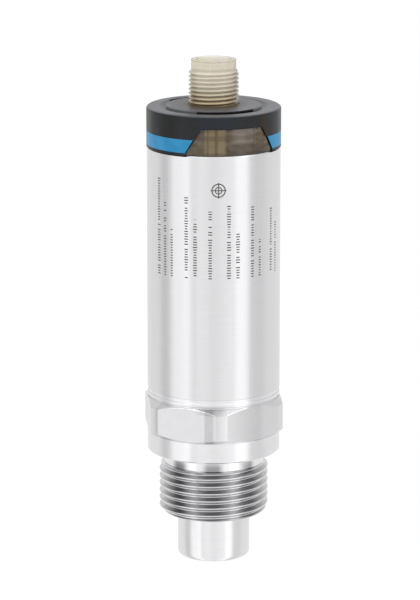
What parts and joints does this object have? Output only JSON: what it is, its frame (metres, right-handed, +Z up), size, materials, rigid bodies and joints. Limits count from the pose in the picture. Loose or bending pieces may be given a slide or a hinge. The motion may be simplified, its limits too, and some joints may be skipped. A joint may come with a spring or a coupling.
{
  "type": "capacitive level switch",
  "caption": "Compact capacitive point level switch: tube housing with a round connector plug, indicator window, wrench hexagon, pipe thread and flush measuring face.",
  "frame": {"origin": "centre of the flat measuring face at the foot of the part", "axes": "+Z runs up the axis from the measuring face to the plug; -Y faces the front, where the indicator window is, and +X points to the right of it"},
  "size_m": [0.0334, 0.0354, 0.1222],
  "materials": {
    "connection_steel": "turned, fine lathe lines",
    "tube_steel": "fine satin, drawn tube",
    "electrode_steel": "ground flush",
    "inner_steel": "turned, plain",
    "spring_steel": "bare spring strip",
    "amber_plastic": "clear amber moulding, glossy",
    "smoke_plastic": "dark smoky moulding, satin",
    "blue_plastic": "plain blue, satin",
    "insulator_plastic": "beige high temperature plastic",
    "carrier_plastic": "black moulding",
    "seal_rubber": "plain black elastomer",
    "contact_plastic": "black insert",
    "gold_plate": "gold plated contact",
    "wire_copper": "tinned copper wire",
    "board_laminate": "green solder mask",
    "chip_resin": "black moulded package",
    "coil_ferrite": "grey ferrite shell",
    "can_aluminium": "drawn can",
    "green_lens": "clear green lens",
    "yellow_lens": "clear yellow lens",
    "red_lens": "clear red lens"
  },
  "bodies": {
    "root": {"process_connection": "connection_steel", "housing_tube": "tube_steel", "connector_body": "amber_plastic", "cap": "smoke_plastic", "stripe": "blue_plastic", "probe_electrode": "electrode_steel", "guard_ring": "electrode_steel", "inner_insulator": "insulator_plastic", "outer_insulator": "insulator_plastic", "insulator_seal": "seal_rubber", "electrode_nut": "inner_steel", "pressure_ring": "insulator_plastic", "cup_spring": "spring_steel", "clamp_bush": "inner_steel", "sensor_wires": "wire_copper", "board_carrier": "carrier_plastic", "main_board": "board_laminate", "controller_chip": "chip_resin", "output_transistors": "chip_resin", "power_inductor": "coil_ferrite", "storage_capacitors": "can_aluminium", "ground_spring": "spring_steel", "link_header": "chip_resin", "link_pins": "gold_plate", "led_board": "board_laminate", "green_leds": "green_lens", "yellow_leds": "yellow_lens", "red_leds": "red_lens", "housing_seal": "seal_rubber", "contact_carrier": "contact_plastic", "contact_pins": "gold_plate"}
  },
  "joints": []
}
